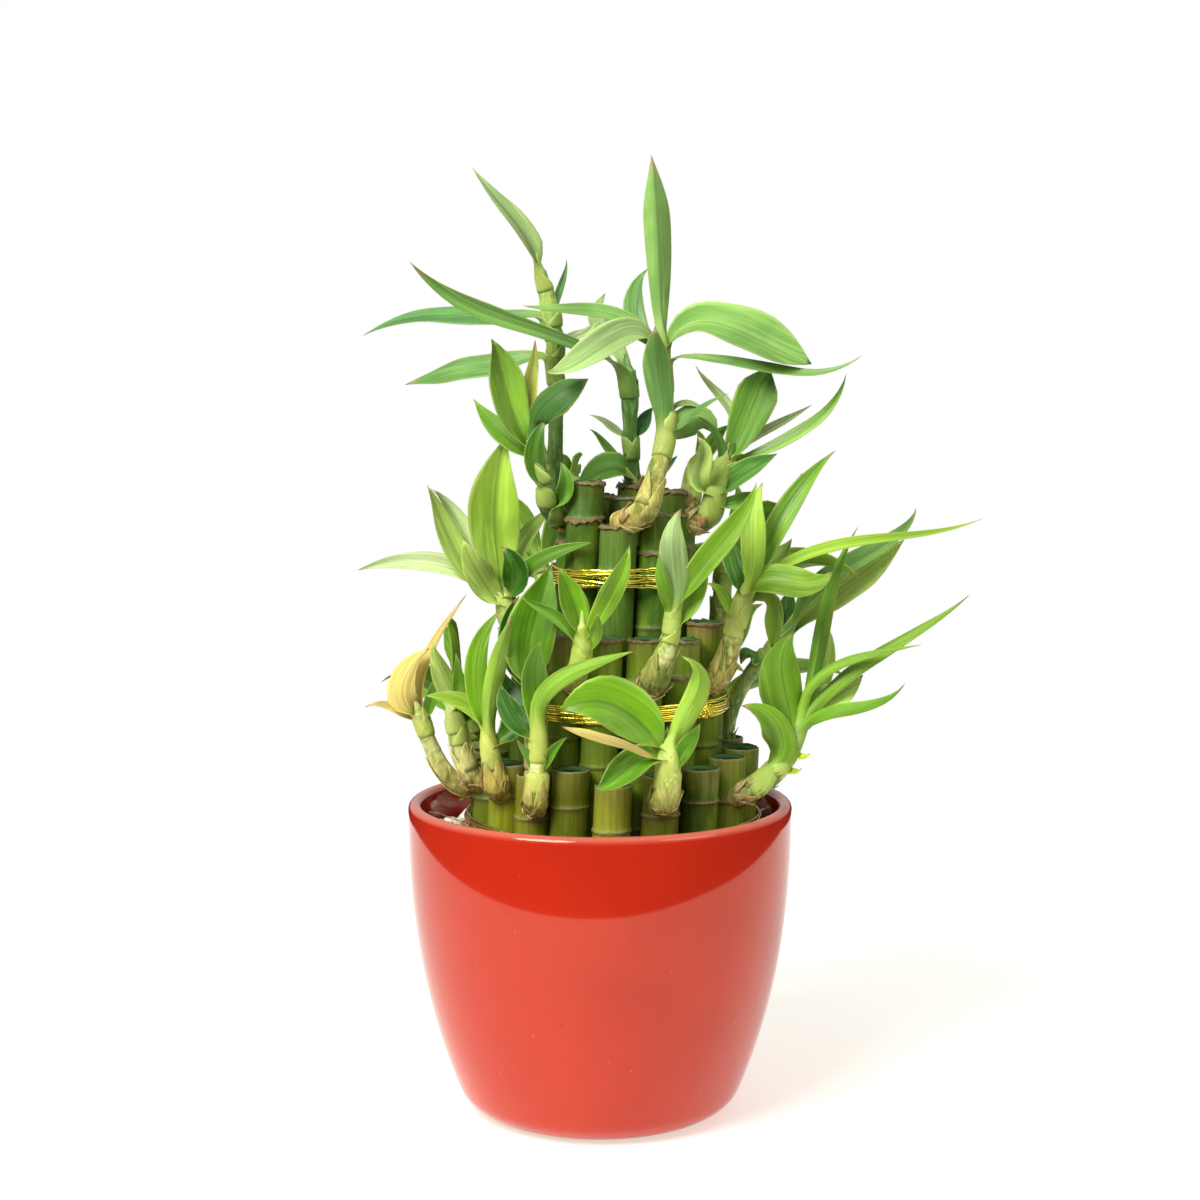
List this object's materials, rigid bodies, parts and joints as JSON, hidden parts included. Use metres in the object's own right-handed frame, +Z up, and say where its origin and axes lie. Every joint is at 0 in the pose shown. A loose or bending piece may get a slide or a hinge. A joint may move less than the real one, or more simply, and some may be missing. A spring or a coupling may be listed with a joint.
{
  "type": "lucky bamboo",
  "caption": "Three-tier bundle of lucky bamboo canes with leafy shoots, tied with gold wire and set in pebbles in a round red glazed pot.",
  "frame": {"origin": "centre of the underside of the pot's foot", "axes": "+Z up along the pot's axis, -Y towards the front of the plant, +X to its right"},
  "size_m": [0.2242, 0.1847, 0.344],
  "materials": {
    "glaze": "glossy red glaze",
    "pebbles": "pale pebbles with fine roots",
    "gold_wire": "bright gold",
    "leafy_stalk": "living cane, shoot and leaves, satin green",
    "bare_cane": "living cane, satin dark green"
  },
  "bodies": {
    "root": {"pot": "glaze", "pebble_bed": "pebbles", "tie_inner": "gold_wire", "tie_middle": "gold_wire", "tie_outer": "gold_wire", "stalk_inner_1": "leafy_stalk", "stalk_inner_2": "bare_cane", "stalk_inner_3": "leafy_stalk", "stalk_inner_4": "leafy_stalk", "stalk_inner_5": "leafy_stalk", "stalk_inner_6": "leafy_stalk", "stalk_inner_7": "leafy_stalk", "stalk_inner_8": "bare_cane", "stalk_middle_1": "leafy_stalk", "stalk_middle_2": "bare_cane", "stalk_middle_3": "leafy_stalk", "stalk_middle_4": "bare_cane", "stalk_middle_5": "leafy_stalk", "stalk_middle_6": "bare_cane", "stalk_middle_7": "leafy_stalk", "stalk_middle_8": "bare_cane", "stalk_middle_9": "leafy_stalk", "stalk_middle_10": "bare_cane", "stalk_middle_11": "leafy_stalk", "stalk_middle_12": "bare_cane", "stalk_middle_13": "leafy_stalk", "stalk_middle_14": "bare_cane", "stalk_outer_1": "bare_cane", "stalk_outer_2": "leafy_stalk", "stalk_outer_3": "bare_cane", "stalk_outer_4": "leafy_stalk", "stalk_outer_5": "bare_cane", "stalk_outer_6": "bare_cane", "stalk_outer_7": "leafy_stalk", "stalk_outer_8": "leafy_stalk", "stalk_outer_9": "bare_cane", "stalk_outer_10": "leafy_stalk", "stalk_outer_11": "leafy_stalk", "stalk_outer_12": "bare_cane", "stalk_outer_13": "bare_cane", "stalk_outer_14": "leafy_stalk", "stalk_outer_15": "leafy_stalk", "stalk_outer_16": "leafy_stalk", "stalk_outer_17": "leafy_stalk", "stalk_outer_18": "leafy_stalk", "stalk_outer_19": "bare_cane", "stalk_core_1": "bare_cane"}
  },
  "joints": []
}
